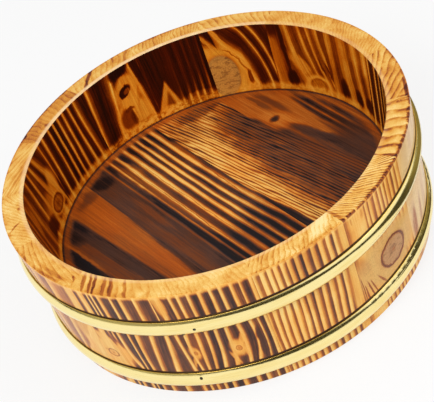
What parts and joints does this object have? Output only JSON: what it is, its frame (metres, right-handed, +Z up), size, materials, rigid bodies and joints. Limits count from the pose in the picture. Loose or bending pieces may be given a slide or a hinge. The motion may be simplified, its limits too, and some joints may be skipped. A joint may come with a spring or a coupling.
{
  "type": "hangiri sushi rice tub",
  "caption": "Shallow round coopered wooden tub for cooling and dressing sushi rice, of charred staves on a flat board floor, bound with polished brass hoops.",
  "frame": {"origin": "centre of the circle on which the foot of the wall stands", "axes": "+Z up along the tub's axis, out of its mouth; -Y towards the side that the picture shows nearest"},
  "size_m": [0.3024, 0.3024, 0.1024],
  "materials": {
    "stave_wood": "charred, brushed, clear lacquer",
    "floor_wood": "charred, brushed, clear lacquer",
    "hoop_brass": "polished",
    "tack_steel": "dulled",
    "peg_bamboo": "bare"
  },
  "bodies": {
    "root": {"stave_01": "stave_wood", "stave_02": "stave_wood", "stave_03": "stave_wood", "stave_04": "stave_wood", "stave_05": "stave_wood", "stave_06": "stave_wood", "stave_07": "stave_wood", "stave_08": "stave_wood", "stave_09": "stave_wood", "stave_10": "stave_wood", "stave_11": "stave_wood", "stave_12": "stave_wood", "stave_13": "stave_wood", "stave_14": "stave_wood", "stave_15": "stave_wood", "floor_board_1": "floor_wood", "floor_board_2": "floor_wood", "floor_board_3": "floor_wood", "floor_board_4": "floor_wood", "hoop_upper": "hoop_brass", "hoop_lower": "hoop_brass", "hoop_tacks": "tack_steel", "stave_pegs": "peg_bamboo", "floor_pegs": "peg_bamboo"}
  },
  "joints": []
}
